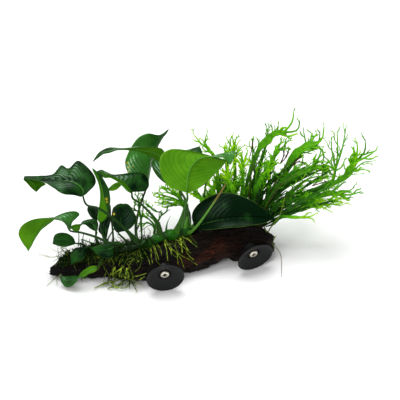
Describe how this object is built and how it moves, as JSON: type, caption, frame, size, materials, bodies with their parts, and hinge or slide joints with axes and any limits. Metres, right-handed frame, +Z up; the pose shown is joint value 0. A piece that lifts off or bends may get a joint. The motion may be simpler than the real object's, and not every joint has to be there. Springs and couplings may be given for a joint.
{
  "type": "java fern and anubias on driftwood",
  "caption": "Lace java fern and broad-leaved anubias growing on a piece of driftwood, with suction cups screwed to its front for pressing it onto aquarium glass.",
  "frame": {"origin": "bottom centre of the whole part's bounding box, on the surface that it lies on", "axes": "+Z up, +X close to the wood's length towards the java fern, -Y towards the suction cups"},
  "size_m": [0.3604, 0.1258, 0.1521],
  "materials": {
    "driftwood": "wet dark bark, rough and furrowed",
    "rubber": "moulded, satin",
    "screw_steel": "satin stainless steel",
    "anubias_leaf": "waxy living leaf, dark and glossy above, light green and matt below",
    "anubias_stem": "smooth living stem",
    "fern_frond": "satin living frond with a brown midrib",
    "fern_stem": "scaly brown rhizome",
    "roots": "matted yellow-green roots"
  },
  "bodies": {
    "root": {"anubias_bare_stalk": "anubias_stem", "anubias_leaf_01": "anubias_leaf", "anubias_leaf_02": "anubias_leaf", "anubias_leaf_03": "anubias_leaf", "anubias_leaf_04": "anubias_leaf", "anubias_leaf_05": "anubias_leaf", "anubias_leaf_06": "anubias_leaf", "anubias_leaf_07": "anubias_leaf", "anubias_leaf_08": "anubias_leaf", "anubias_leaf_09": "anubias_leaf", "anubias_leaf_10": "anubias_leaf", "anubias_leaf_11": "anubias_leaf", "anubias_leaf_12": "anubias_leaf", "anubias_leaf_13": "anubias_leaf", "anubias_leaf_14": "anubias_leaf", "anubias_leaf_15": "anubias_leaf", "anubias_leaf_16": "anubias_leaf", "anubias_leaf_17": "anubias_leaf", "anubias_leaf_18": "anubias_leaf", "anubias_leaf_19": "anubias_leaf", "anubias_rhizome": "anubias_stem", "cup_screw_left": "screw_steel", "cup_screw_right": "screw_steel", "driftwood": "driftwood", "fern_frond_01": "fern_frond", "fern_frond_02": "fern_frond", "fern_frond_03": "fern_frond", "fern_frond_04": "fern_frond", "fern_frond_05": "fern_frond", "fern_frond_06": "fern_frond", "fern_frond_07": "fern_frond", "fern_frond_08": "fern_frond", "fern_frond_09": "fern_frond", "fern_frond_10": "fern_frond", "fern_frond_11": "fern_frond", "fern_frond_12": "fern_frond", "fern_frond_13": "fern_frond", "fern_frond_14": "fern_frond", "fern_frond_15": "fern_frond", "fern_frond_16": "fern_frond", "fern_frond_17": "fern_frond", "fern_frond_18": "fern_frond", "fern_frond_19": "fern_frond", "fern_frond_20": "fern_frond", "fern_frond_21": "fern_frond", "fern_frond_22": "fern_frond", "fern_frond_23": "fern_frond", "fern_frond_24": "fern_frond", "fern_frond_25": "fern_frond", "fern_frond_26": "fern_frond", "fern_frond_27": "fern_frond", "fern_frond_28": "fern_frond", "fern_rhizome": "fern_stem", "fern_shoot": "fern_frond", "root_tuft": "roots", "suction_cup_left": "rubber", "suction_cup_right": "rubber"}
  },
  "joints": []
}
